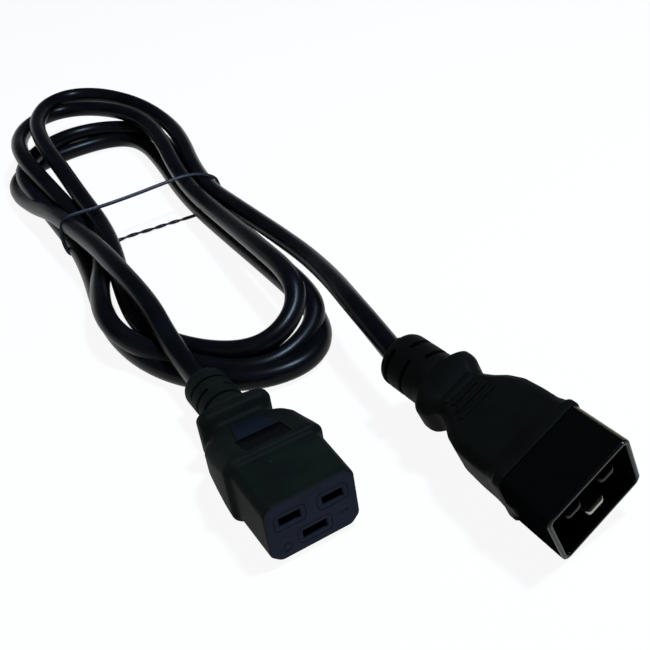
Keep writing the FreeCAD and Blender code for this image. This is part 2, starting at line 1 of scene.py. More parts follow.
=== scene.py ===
"""A moulded mains cord set: a C19 connector and a C20 plug on one coiled cord held by a wire tie."""
import math

import bmesh
import bpy
import numpy as np
from mathutils import Matrix, Vector

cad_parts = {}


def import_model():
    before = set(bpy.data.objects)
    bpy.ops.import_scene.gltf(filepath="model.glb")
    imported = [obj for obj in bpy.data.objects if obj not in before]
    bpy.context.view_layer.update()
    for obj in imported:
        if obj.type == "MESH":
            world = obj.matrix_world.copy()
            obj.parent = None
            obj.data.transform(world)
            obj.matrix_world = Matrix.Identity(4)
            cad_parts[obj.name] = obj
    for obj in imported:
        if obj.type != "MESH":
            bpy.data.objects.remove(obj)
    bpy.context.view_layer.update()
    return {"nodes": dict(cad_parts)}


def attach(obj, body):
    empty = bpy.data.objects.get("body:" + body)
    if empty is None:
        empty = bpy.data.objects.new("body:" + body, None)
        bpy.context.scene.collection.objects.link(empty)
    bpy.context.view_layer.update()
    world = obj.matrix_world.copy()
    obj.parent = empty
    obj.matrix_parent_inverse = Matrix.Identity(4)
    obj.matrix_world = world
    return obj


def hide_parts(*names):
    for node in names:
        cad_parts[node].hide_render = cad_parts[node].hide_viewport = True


MM = 0.001
CORD_DIAMETER = 7.6
# points nearer than this, in metres, are one point
SAME_POINT = 1e-7
# the most of an edge that the rounding at one of its ends may take, so that two never meet
EDGE_SHARE = 0.46
# keeps a division by an edge of no length from failing
TINY = 1e-9

# where the two connectors lie, with +Y running back from the mating face
C19_PLACE = Matrix.Translation((-0.6, -39, 11.6))
C20_PLACE = (
    Matrix.Translation((59.2, -85.1, 16.05))
    @ Matrix.Rotation(math.radians(6.2), 4, "Z")
    @ Matrix.Rotation(math.radians(5.2), 4, "X")
    @ Matrix.Rotation(math.radians(-21.8), 4, "Y")
)
# the standard blade layout: name, across, up, slot width, blade width
POLES = [("line", -6.5, 3.4, 6.4, 5.8), ("neutral", 6.5, 3.4, 6.4, 5.8), ("earth", 0, -4.6, 7.4, 6.8)]
SLOT_THICK = 2.7
BLADE_THICK = 2.0
CRIMP_RADIUS = 1.7
CONTACT_FRONT = 1.5
CONTACT_END = 13.5


def sagged(point, start, end, sideways, down):
    """A soft moulding leans a little along its length: a point of it after start moves by these."""
    share = min(1.0, max(0.0, (point[1] - start) / (end - start)))
    return Vector((point[0] + sideways * share, point[1], point[2] - down * share * share))


def c19_lean(point):
    """The C19's relief sags under its own weight and the cord's."""
    return sagged(point, 18.0, 76.0, 0.0, 1.7)


def c20_lean(point):
    """The C20's grip and relief sag and bend aside, and its pull bar stands a little askew."""
    moved = sagged(point, 36.0, 83.0, -1.0, 2.4)
    askew = max(0.0, 1.0 - abs(point[1] - 57.4) / 7.0)
    moved.y += (0.5 + 0.11 * point[0]) * askew
    return moved


# --------------------------------------------------------------------------
# Node kit
# --------------------------------------------------------------------------
class Signal:
    """An output socket that takes part in sums."""

    def __init__(self, kit, socket):
        self.kit = kit
        self.socket = socket

    def math(self, operation, *others):
        """A Math node whose first value is this signal."""
        return self.kit.node("ShaderNodeMath", {"operation": operation}, dict(enumerate((self, *others))))

    def __add__(self, other):
        return self.math("ADD", other)

    def __sub__(self, other):
        return self.math("SUBTRACT", other)

    def __rsub__(self, other):
        return self.kit.node("ShaderNodeMath", {"operation": "SUBTRACT"}, {0: other, 1: self})

    def __mul__(self, other):
        return self.math("MULTIPLY", other)

    __radd__ = __add__
    __rmul__ = __mul__

    def step(self, low, high):
        """0 below low, 1 above high, and smooth between them."""
        return self.kit.node("ShaderNodeMapRange", {"interpolation_type": "SMOOTHSTEP"},
                             {"Value": self, "From Min": low, "From Max": high})

    def part(self, axis):
        """One coordinate of a vector: "X", "Y" or "Z"."""
        return self.kit.node("ShaderNodeSeparateXYZ", None, {0: self}, output=axis)


class Kit:
    """A node tree and the one method that adds nodes to it."""

    def __init__(self, tree):
        self.tree = tree

    def set(self, node, inputs):
        """Give sockets their values or links; a list is joined into one socket."""
        for key, value in inputs.items():
            if isinstance(value, (Signal, list)):
                for signal in value if isinstance(value, list) else [value]:
                    self.tree.links.new(signal.socket, node.inputs[key])
            else:
                node.inputs[key].default_value = value

    def node(self, kind, settings=None, inputs=None, output=0):
        """Add a node: its settings first, then its sockets, by value or by link."""
        node = self.tree.nodes.new(kind)
        for key, value in (settings or {}).items():
            if key == "stops":
                for element, (position, colour) in zip(node.color_ramp.elements, value):
                    element.position, element.color = position, colour
            elif key == "easing":
                node.color_ramp.interpolation = value
            else:
                setattr(node, key, value)
        self.set(node, inputs or {})
        return Signal(self, node.outputs[output]) if node.outputs else None


class Finish(Kit):
    """One material with its Principled shader."""

    def __init__(self, name, **constants):
        self.material = bpy.data.materials.new(name)
        self.material.use_nodes = True
        super().__init__(self.material.node_tree)
        self.shader = self.tree.nodes["Principled BSDF"]
        self.feed(**constants)
        self.place = self.node("ShaderNodeTexCoord", output="Object")

    def feed(self, **inputs):
        """Set the shader's sockets, whose names have _ for a space here."""
        self.set(self.shader, {key.replace("_", " "): value for key, value in inputs.items()})

    def noise(self, scale, detail=2.0, roughness=0.5):
        """Even noise over the surface, in features to the metre."""
        return self.node("ShaderNodeTexNoise", None,
                         {"Vector": self.place, "Scale": scale, "Detail": detail, "Roughness": roughness})

    def drawn_noise(self, scale, detail):
        """Noise with its own scale along each axis, for marks that run one way."""
        drawn = self.node("ShaderNodeMapping", None, {"Vector": self.place, "Scale": scale})
        return self.node("ShaderNodeTexNoise", None, {"Vector": drawn, "Scale": 1.0, "Detail": detail})

    def blend(self, factor, first, second):
        """A colour between two colours."""
        return self.node("ShaderNodeMix", {"data_type": "RGBA"}, {0: factor, 6: first, 7: second}, output=2)

    def bump(self, height, distance, strength):
        """Relief from a height signal; distance is in metres."""
        self.feed(Normal=self.node("ShaderNodeBump", None,
                                   {"Height": height, "Distance": distance, "Strength": strength}))


def rgb(red, green, blue, factor=1.0):
    """A colour for a socket, with its channels scaled by factor."""
    return (red * factor, green * factor, blue * factor, 1.0)


# --------------------------------------------------------------------------
# Materials
# --------------------------------------------------------------------------
def soft_moulding(name, base, dust):
    """Matte PVC: a fine sprayed grain, slow cloudy variation, and a few specks of dust."""
    finish = Finish(name, Specular_IOR_Level=0.03, IOR=1.5)
    cloud = finish.noise(90.0, 3.0)
    grain = finish.noise(2600.0, 2.0, 0.6)
    shade = finish.blend(cloud.step(0.3, 0.75), rgb(*base), rgb(*base, 1.55))
    speck = finish.node("ShaderNodeTexVoronoi", {"feature": "F1"},
                        {"Vector": finish.place, "Scale": 210.0, "Randomness": 1.0})
    near = 1.0 - speck.step(0.022, 0.05)
    rare = finish.noise(70.0, 0.0).step(0.60, 0.66)
    specks = near * rare
    finish.feed(Base_Color=finish.blend(specks * dust, shade, rgb(0.30, 0.32, 0.36)),
                Roughness=0.50 + 0.14 * cloud + 0.06 * grain)
    finish.bump(grain + 1.5 * specks, 0.00003, 0.55)
    return finish.material


def hard_insert(name, base):
    """Smooth hard plastic of the contact carrier, with a slight bluish cast."""
    finish = Finish(name, Specular_IOR_Level=0.05, IOR=1.5)
    cloud = finish.noise(160.0, 3.0)
    finish.feed(Base_Color=finish.blend(cloud.step(0.3, 0.7), rgb(*base), rgb(*base, 1.3)),
                Roughness=0.42 + 0.12 * finish.noise(900.0, 2.0))
    finish.bump(finish.noise(3200.0, 1.0), 0.00002, 0.35)
    return finish.material


def polished_shroud(name, gloss, tint=(1.0, 1.0, 1.0)):
    """Polished black plastic with faint rub marks along it: gloss sets how much it mirrors, and tint
    scales the channels of its colour, so that a strong warm tint paints a reflection into it."""
    finish = Finish(name, Specular_IOR_Level=gloss, IOR=1.5)
    rubs = finish.drawn_noise((900.0, 60.0, 900.0), 2.0)
    cloud = finish.noise(120.0, 2.0)
    finish.feed(Base_Color=finish.blend(cloud, rgb(*tint, 0.0012), rgb(*tint, 0.0022)),
                Roughness=0.14 + 0.10 * rubs.step(0.45, 0.75) + 0.06 * cloud)
    finish.bump(rubs, 0.000006, 0.3)
    return finish.material


def cord_jacket():
    """The cord's sheath: smooth black PVC with a soft gloss and slight unevenness."""
    finish = Finish("cord_jacket_pvc", Specular_IOR_Level=0.09, IOR=1.5)
    slow = finish.noise(55.0, 2.0)
    fine = finish.noise(1700.0, 2.0, 0.55)
    finish.feed(Base_Color=finish.blend(slow.step(0.3, 0.7), rgb(0.0016, 0.0018, 0.0024),
                                        rgb(0.0030, 0.0033, 0.0044)),
                Roughness=0.27 + 0.06 * slow + 0.03 * fine)
    finish.bump(0.7 * slow + 0.3 * fine, 0.00003, 0.15)
    return finish.material


def metal(name, base, worn, roughness):
    """Plain plated or stamped metal with fine drawing marks along the blade."""
    finish = Finish(name, Metallic=1.0)
    marks = finish.drawn_noise((4200.0, 260.0, 4200.0), 3.0)
    finish.feed(Base_Color=finish.blend(marks.step(0.35, 0.75), rgb(*base), rgb(*worn)),
                Roughness=roughness + 0.12 * marks)
    finish.bump(marks, 0.00001, 0.3)
    return finish.material


def wire_insulation(name, base, stripe=None):
    """Wire insulation; the earth wire has its second colour as a stripe."""
    finish = Finish(name, Specular_IOR_Level=0.4)
    cloud = finish.noise(400.0, 2.0)
    colour = finish.blend(cloud, rgb(*base), rgb(*base, 0.8))
    if stripe:
        bands = finish.node("ShaderNodeTexWave", {"wave_type": "BANDS", "bands_direction": "DIAGONAL"},
                            {"Vector": finish.place, "Scale": 90.0, "Distortion": 0.0})
        colour = finish.blend(bands.step(0.45, 0.55), colour, rgb(*stripe))
    finish.feed(Base_Color=colour, Roughness=0.45 + 0.1 * cloud)
    return finish.material


def tie_wire():
    """The tie: thin black plastic pressed round a wire, a little shinier than the cord."""
    finish = Finish("tie_plastic_film", Specular_IOR_Level=0.1)
    wrinkle = finish.noise(700.0, 3.0)
    finish.feed(Base_Color=finish.blend(wrinkle, rgb(0.004, 0.005, 0.009), rgb(0.010, 0.012, 0.020)),
                Roughness=0.30 + 0.2 * wrinkle)
    finish.bump(wrinkle, 0.0001, 0.5)
    return finish.material


# --------------------------------------------------------------------------
# Mesh kit
# --------------------------------------------------------------------------
def soften(corners, radius, steps=6):
    """Round each corner of a closed polygon with a curve that starts at most radius before it."""
    points = []
    for here, before, after in zip(corners, np.roll(corners, 1, axis=0), np.roll(corners, -1, axis=0)):
        back, ahead = np.linalg.norm(before - here), np.linalg.norm(after - here)
        reach = min(radius, EDGE_SHARE * back, EDGE_SHARE * ahead)
        start = here + (before - here) / max(back, TINY) * reach
        end = here + (after - here) / max(ahead, TINY) * reach
        for t in np.linspace(0, 1, steps + 1):
            points.append((1 - t) ** 2 * start + 2 * t * (1 - t) * here + t * t * end)
    return np.array(points)


def section(y, half, top, foot=None, cut=(1.0, 1.0), foot_cut=None, soft=1.0, disc=0.0):
    """One cross-section at y: half width, height above and below the axis, its corners' cuts, and how
    far it is a disc (0 to 1). Returned as a row of numbers, so that sections can be mixed."""
    foot = top if foot is None else foot
    foot_cut = cut if foot_cut is None else foot_cut
    return np.array([y, half, top, foot, *cut, *foot_cut, soft, disc], float)


def ring_points(row, steps=6):
    """The points round one section, between its rounded rectangle and its disc."""
    y, half, top, foot, cut_x, cut_z, foot_x, foot_z, soft, disc = row
    corners = np.array([
        (half, foot_z - foot), (half, top - cut_z), (half - cut_x, top), (cut_x - half, top),
        (-half, top - cut_z), (-half, foot_z - foot), (foot_x - half, -foot), (half - foot_x, -foot),
    ])
    flat = soften(corners, soft, steps)
    # the disc gives each of the eight corners its own stretch of the circle
    spread = np.radians(np.linspace(-20, 20, steps + 1))
    angles = np.concatenate([math.radians(45 * k - 22.5) + spread for k in range(8)])
    round_ = np.stack([half * np.cos(angles), top * np.sin(angles)], axis=1)
    flat = flat * (1 - disc) + round_ * disc
    return np.stack([flat[:, 0], np.full(len(flat), y), flat[:, 1]], axis=1)


def ease(rows, reach, steps=4):
    """Round the change of direction at each inner section, up to reach before and after it."""
    rows = [np.array(row) for row in rows]
    eased = [rows[0]]
    for before, here, after in zip(rows, rows[1:], rows[2:]):
        back, ahead = abs(here[0] - before[0]), abs(after[0] - here[0])
        start = here + (before - here) * (min(reach, EDGE_SHARE * back) / max(back, TINY))
        end = here + (after - here) * (min(reach, EDGE_SHARE * ahead) / max(ahead, TINY))
        for t in np.linspace(0, 1, steps + 1):
            eased.append((1 - t) ** 2 * start + 2 * t * (1 - t) * here + t * t * end)
    return eased + [rows[-1]]


def add_object(name, data):
    """A new object in the scene, at the origin."""
    made = bpy.data.objects.new(name, data)
    bpy.context.scene.collection.objects.link(made)
    return made


def ringed(name, rings, place, closed=False):
    """A mesh whose skin joins rings of points, given in a connector's own millimetres."""
    mesh = bpy.data.meshes.new(name)
    world = [(place @ Vector(point)) * MM for point in np.concatenate(rings)]
    mesh.from_pydata(world, [], skin(rings, closed))
    mesh.validate()
    made = add_object(name, mesh)
    turn_outwards(made)
    return made


def turn_outwards(made):
    """Join doubled points and turn every face outwards."""
    work = bmesh.new()
    work.from_mesh(made.data)
    bmesh.ops.remove_doubles(work, verts=work.verts, dist=SAME_POINT)
    bmesh.ops.recalc_face_normals(work, faces=work.faces)
    work.to_mesh(made.data)
    work.free()


def skin(rings, closed=False):
    """Faces that join rings of equal length; the ends are capped unless the row of rings is closed."""
    count, size = len(rings), len(rings[0])
    faces = []
    for k in range(count if closed else count - 1):
        for i in range(size):
            j, n = (i + 1) % size, (k + 1) % count
            faces.append((k * size + i, k * size + j, n * size + j, n * size + i))
    if not closed:
        faces += [tuple(range(size)), tuple(range((count - 1) * size, count * size))]
    return faces


def loft(name, rows, place, steps=6, at=(0, 0)):
    """A solid through sections, moved across and up by at."""
    rings = [ring_points(row, steps) + np.array([at[0], 0, at[1]]) for row in rows]
    return ringed(name, rings, place)


def smooth(made, angle):
    """Shade smooth, with edges sharper than angle kept sharp."""
    for face in made.data.polygons:
        face.use_smooth = True
    made.data.set_sharp_from_angle(angle=math.radians(angle))


def baked(made):
    """Replace an object's mesh by its evaluated one, and drop its modifiers."""
    bpy.context.view_layer.update()
    evaluated = made.evaluated_get(bpy.context.evaluated_depsgraph_get())
    mesh = bpy.data.meshes.new_from_object(evaluated)
    made.modifiers.clear()
    made.data = mesh
    return made


def carve(body, cutters):
    """Cut the cutters out of a body."""
    for cutter in cutters:
        step = body.modifiers.new("carve", "BOOLEAN")
        step.operation, step.solver, step.object = "DIFFERENCE", "EXACT", cutter
    baked(body)
    for cutter in cutters:
        bpy.data.objects.remove(cutter)
    return body


def box_cutter(name, across, up, width, height, front, back, place, flare=0.2, corner=0.25):
    """A straight-sided pocket with a slightly wider mouth, so that its edge catches light."""
    before_mouth = front - 0.6
    rows = []
    for y, extra in ((before_mouth, flare), (front, flare), (front + flare, 0), (back, 0)):
        rows.append(section(y, width / 2 + extra, height / 2 + extra, cut=(corner, corner), soft=corner))
    return loft(name, rows, place, 3, (across, up))


def slot_cutter(name, y, radius, depth, width, middle, angle, place, flare=0.22):
    """A slot round part of a strain relief, with rounded ends and a flared rim."""
    half, end = math.radians(angle / 2), width / 2 / radius
    outside = radius + 1.5
    sweep = np.concatenate([
        -half + end * (1 - np.cos(np.linspace(0.15, math.pi / 2, 6))),
        np.linspace(-half + end, half - end, 26)[1:-1],
        half - end * (1 - np.cos(np.linspace(math.pi / 2, 0.15, 6))),
    ])
    rings = []
    for turn in sweep:
        inset = max(0.0, abs(turn) - (half - end)) / end
        reach = width / 2 * math.sqrt(max(0.0, 1 - inset * inset))
        profile = [(radius - depth, -reach), (radius - flare, -reach), (radius, -reach - flare),
                   (outside, -reach - flare), (outside, reach + flare), (radius, reach + flare),
                   (radius - flare, reach), (radius - depth, reach)]
        angle_here = math.radians(middle) + turn
        rings.append([(r * math.cos(angle_here), y + along, r * math.sin(angle_here))
                      for r, along in profile])
    return ringed(name, rings, place)


def lean(made, place, rule):
    """Move a finished piece's points by a rule in the connector's own millimetres."""
    back = place.inverted()
    for vertex in made.data.vertices:
        vertex.co = (place @ rule(back @ (vertex.co / MM))) * MM
    return made


def tube_points(radius, front, back, across, up, sides=24):
    """Rings of a plain round bar along the connector's axis."""
    turn = np.linspace(0, 2 * math.pi, sides, endpoint=False)
    return [np.stack([across + radius * np.cos(turn), np.full(sides, y), up + radius * np.sin(turn)], axis=1)
            for y in (front, back)]


def merged(name, objects):
    """One object of several, each an island of its mesh."""
    points, faces = [], []
    for part in objects:
        start = len(points)
        points += [tuple(v.co) for v in part.data.vertices]
        faces += [tuple(start + i for i in face.vertices) for face in part.data.polygons]
        bpy.data.objects.remove(part)
    mesh = bpy.data.meshes.new(name)
    mesh.from_pydata(points, [], faces)
    return add_object(name, mesh)


def nurbs_line(name, points, closed=False):
    """A smooth curve led by points in the frame's millimetres."""
    curve = bpy.data.curves.new(name, "CURVE")
    curve.dimensions = "3D"
    spline = curve.splines.new("NURBS")
    spline.points.add(len(points) - 1)
    for point, at in zip(spline.points, points):
        point.co = (*(Vector(at) * MM), 1.0)
    spline.use_cyclic_u = closed
    spline.use_endpoint_u = not closed
    spline.order_u = 3
    return add_object(name, curve)


def paint(made, place, material, wanted):
    """Another material for the faces whose middle and outward way, in a connector's axes, are wanted."""
    made.data.materials.append(material)
    own = place.inverted()
    turn = own.to_3x3()
    for face in made.data.polygons:
        if wanted(own @ (face.center / MM), turn @ face.normal):
            face.material_index = len(made.data.materials) - 1


def dress(made, material, slot, *nodes, angle=32.0):
    """Give a finished piece its material and the nodes that it stands for; its slot is not used."""
    made.data.materials.clear()
    made.data.materials.append(material)
    if made.type == "MESH":
        smooth(made, angle)
    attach(made, "root")
    if nodes:
        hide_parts(*nodes)
    return made


# --------------------------------------------------------------------------
# Cord
# --------------------------------------------------------------------------
# the free ends of the cord, in its order from the C19 to the C20
C19_TAIL = [(-0.8, 35, 10.4), (-1.1, 50, 10.2), (-1.1, 68, 13), (0, 86, 17.5), (-1.5, 118, 19.5),
            (-2, 146, 17.5)]
C20_TAIL = [(59.1, 140, 13.5), (60.7, 102, 15), (60.3, 78, 17), (57.2, 53, 20.4), (53.0, 30, 23),
            (50.9, 11, 22.6), (49.6, -3, 21.3)]
TIE_Y = 172.0
# where the cord passes the tie, as (x, z), in its order from the C19 to the C20
AT_TIE = [(-4, 15), (51.4, 4), (-3.5, 4), (58, 4), (5, 5), (51, 12), (8.5, 11.5), (58.3, 11.5)]
# each half turn between them: middle x, half width, middle y, depth, tilt, squareness,
# and its height at its start, middle and end; far and near ends of the coil take turns
HALF_TURNS = [
    (24.1, 34.6, 251, 29.5, 6, 0.8, 4, 4, 4),
    (20.2, 33, 82, 47.5, -11.5, 0.93, 4, 4, 4),
    (29.5, 36, 250, 37, 7, 1.1, 12, 10, 8),
    (18.2, 33.7, 74.5, 32.5, -16, 1.3, 12, 4, 13),
    (29.2, 32.2, 253, 54, 2, 1.05, 20, 17, 16.5),
    (20.6, 25.6, 75.5, 29.2, -13.5, 1.2, 22, 9, 9),
    (40.2, 31.3, 255, 60, -1.5, 1.03, 21, 21, 14),
]


def half_turn(start, end, shape):
    """Two points leaving the tie, seven round the end of the coil, and two back to the tie."""
    middle_x, half_width, middle_y, depth, tilt, square, first_z, top_z, last_z = shape
    side = 1 if end[0] > start[0] else -1
    outward = 1 if middle_y > TIE_Y else -1
    bend = []
    steps = 6
    for step in range(steps + 1):
        turn = math.pi * step / steps
        share = step / steps
        across = -side * math.copysign(abs(math.cos(turn)) ** square, math.cos(turn))
        height = (first_z * (1 - share) * (1 - 2 * share) + top_z * 4 * share * (1 - share)
                  + last_z * share * (2 * share - 1))
        bend.append(Vector((middle_x + half_width * across,
                            middle_y + outward * depth * math.sin(turn) ** square + tilt * across, height)))

    def neck(a, b, share):
        """A point on the way from a to b that swings across smoothly."""
        swing = share * share * (3 - 2 * share)
        return Vector((a.x + (b.x - a.x) * swing, a.y + (b.y - a.y) * share, a.z + (b.z - a.z) * swing))

    leave = Vector((start[0], TIE_Y, start[1]))
    arrive = Vector((end[0], TIE_Y, end[1]))
    return ([neck(leave, bend[0], k / 3) for k in (1, 2)] + bend
            + [neck(bend[-1], arrive, k / 3) for k in (1, 2)])


def make_cord(material):
    """The whole cord as one smooth line: out of the C19, round the coil and into the C20."""
    line = list(C19_TAIL)
    for start, end, shape in zip(AT_TIE, AT_TIE[1:], HALF_TURNS):
        line += [(start[0], TIE_Y, start[1]), *half_turn(start, end, shape)]
    line += [(AT_TIE[-1][0], TIE_Y, AT_TIE[-1][1]), *C20_TAIL]
    cord = nurbs_line("mains_cord", line)
    cord.data.bevel_depth = CORD_DIAMETER / 2 * MM
    cord.data.bevel_resolution = 6
    cord.data.resolution_u = 8
    cord.data.use_fill_caps = True
    return dress(cord, material, "cord_jacket", "c19_tail_cord", "cord_coil", "c20_tail_cord")


# --------------------------------------------------------------------------
# C19 connector
# --------------------------------------------------------------------------
def make_c19_moulding(material, face_material, pad_painted_light_material, field_painted_shade_material):
    """Block, shouldered grip, pull bar and slotted strain relief in one moulding."""
    relief, slot_depth, slot_width = 7.3, 2.2, 1.3
    grip = dict(foot_cut=(2.6, 2.6), soft=1.6)
    # y, half width, height above and below, cuts of the upper and lower corners, softness, disc
    block = [
        section(0.0, 13.5, 9.6, 9.6, (1.9, 1.9), (2.6, 2.6), 1.0),
        section(0.5, 13.8, 9.9, 9.9, (1.9, 1.9), (2.6, 2.6), 1.0),
        section(19.9, 14.1, 10.15, 10.15, (1.9, 1.9), (2.6, 2.6), 1.0),
        section(21.0, 15.5, 11.3, 11.4, (2.2, 2.2), **grip),
        section(22.2, 15.6, 11.35, 11.3, (2.6, 2.2), **grip),
        section(26.5, 15.6, 10.1, 10.2, (3.4, 2.2), **grip),
        section(31.6, 15.4, 8.55, 8.6, (3.6, 2.2), **grip),
        section(37.9, 14.9, 6.95, 7.0, (3.2, 2.0), **grip),
        section(41.2, 13.5, 6.1, 6.2, (3.0, 1.8), **grip),
        section(43.2, 10.9, 5.5, 5.6, (2.6, 1.8), **grip),
        section(45.0, 9.3, 5.0, 5.1, (2.4, 1.8), **grip),
        section(46.4, 9.8, 5.5, 5.5, (2.2, 1.8), **grip),
        section(47.7, 11.3, 7.6, 7.6, (2.1, 1.8), (2.2, 2.0), 1.6),
        section(48.7, 11.7, 8.4, 8.4, (2.0, 1.6), (2.0, 1.8), 1.6),
        section(51.6, 11.7, 8.4, 8.4, (2.2, 1.8), (2.2, 1.8), 1.8),
        section(53.2, 9.8, 7.8, 7.8, (3.0, 3.0), (3.0, 3.0), 2.6, 0.35),
        section(55.4, relief, relief, disc=1.0),
        section(74.6, relief, relief, disc=1.0),
        section(75.7, 6.9, 6.9, disc=1.0),
        section(76.2, 5.9, 5.9, disc=1.0),
    ]
    body = loft("c19_moulding", ease(block, 0.5), C19_PLACE)
    # three pairs of slots in the relief, the middle pair turned by a quarter
    cutters = [slot_cutter("slot", y, relief, slot_depth, slot_width, middle, angle, C19_PLACE)
               for y, first, angle in ((58.4, 90, 150), (63.8, 0, 140), (69.2, 90, 150))
               for middle in (first, first + 180)]
    # the sunken field on the shoulder, its floor 0.4 under the sloping surface
    field = [section(y, 7.2, 14.0, -(top - 0.4), cut=(0.2, 0.2), foot_cut=(0.05, 0.05), soft=0.1)
             for y, top in ((22.9, 11.15), (31.6, 8.55))]
    cutters.append(loft("field", field, C19_PLACE, 2))
    for _, across, up, width, _ in POLES:
        cutters.append(box_cutter("sleeve_room", across, up, width + 3.0, SLOT_THICK + 3.0, 0.0, 15.6,
                                  C19_PLACE, 0.12, 1.0))
    # a fine ring and two pips sunk into the face
    ring_mark = ((1.15, -0.5), (1.45, -0.5), (1.45, 0.15), (1.15, 0.15))
    turn = np.linspace(0, 2 * math.pi, 32, endpoint=False)
    rings = [[(-8.6 + r * math.cos(a), y, -6.0 + r * math.sin(a)) for r, y in ring_mark] for a in turn]
    cutters.append(ringed("ring_mark", rings, C19_PLACE, closed=True))
    for across, up in ((8.3, -3.4), (9.9, -3.4)):
        cutters.append(box_cutter("pip", across, up, 0.7, 1.0, 0.0, 0.14, C19_PLACE, 0.05, 0.15))
    carve(body, cutters)
    # the raised pads, as y, half width, the grip's surface there, rise and corners' cut
    surface_rows = ((31.55, 6.5, 8.55, 0.2, (0.15, 0.15)), (31.75, 6.5, 8.55, 0.5, (0.25, 0.2)),
                    (37.5, 5.5, 6.95, 0.55, (0.25, 0.2)), (42.4, 4.6, 5.55, 0.5, (0.25, 0.2)),
                    (43.0, 4.4, 5.3, 0.1, (0.2, 0.2)))
    root, hidden_cut, under = -4.0, (0.1, 0.1), 0.05
    pad = loft("c19_pad", ease([section(y, half, surface + rise, root, cut, hidden_cut, 0.2)
                                for y, half, surface, rise, cut in surface_rows], 0.3), C19_PLACE, 3)
    foot = loft("c19_pad_under", ease([section(y, half, root, surface + under + rise, hidden_cut, cut, 0.2)
                                       for y, half, surface, rise, cut in surface_rows], 0.3), C19_PLACE, 3)
    whole = lean(merged("c19_moulding_and_pads", [body, pad, foot]), C19_PLACE, c19_lean)
    dress(whole, material, "c19_overmould", "c19_housing")
    # the flat face round the sleeves, the top of the pad, lighter and bluer as painted light, and the floor
    # of the sunken field, darker as painted shade
    paint(whole, C19_PLACE, face_material, lambda at, way: way.y < -0.9 and at.y < 1.2)
    paint(whole, C19_PLACE, pad_painted_light_material, lambda at, way: abs(at.x) < 6.6 and 31.4 < at.y < 43.2
          and way.z > 0.5 and at.z > 8.67 - 0.275 * (at.y - 31.6))
    paint(whole, C19_PLACE, field_painted_shade_material, lambda at, way: abs(at.x) < 7.4 and 22.8 < at.y < 31.7
          and 0.15 < 11.15 - 0.299 * (at.y - 22.9) - at.z < 0.7)
    return whole


def make_c19_carrier(material):
    """The contact carrier: one sleeve round each contact, its mouth seen in the front face."""
    sleeves = []
    for pole, across, up, width, _ in POLES:
        sleeve = [section(y, width / 2 + extra, SLOT_THICK / 2 + extra, cut=(0.95, 0.95), soft=0.95)
                  for y, extra in ((0.02, 1.38), (0.12, 1.47), (15.5, 1.47))]
        solid = loft("c19_%s_sleeve" % pole, sleeve, C19_PLACE, 4, (across, up))
        mouth = box_cutter("mouth", across, up, width, SLOT_THICK, 0.06, CONTACT_FRONT + 0.5, C19_PLACE,
                           0.22, 0.12)
        room = box_cutter("room", across, up, width + 1.24, SLOT_THICK + 1.24, CONTACT_FRONT + 0.6,
                          CONTACT_END + 0.1, C19_PLACE, 0.0, 0.1)
        sleeves.append(carve(solid, [mouth, room]))
    whole = merged("c19_carrier_sleeves", sleeves)
    return dress(whole, material, "c19_insert", "c19_contact_carrier")


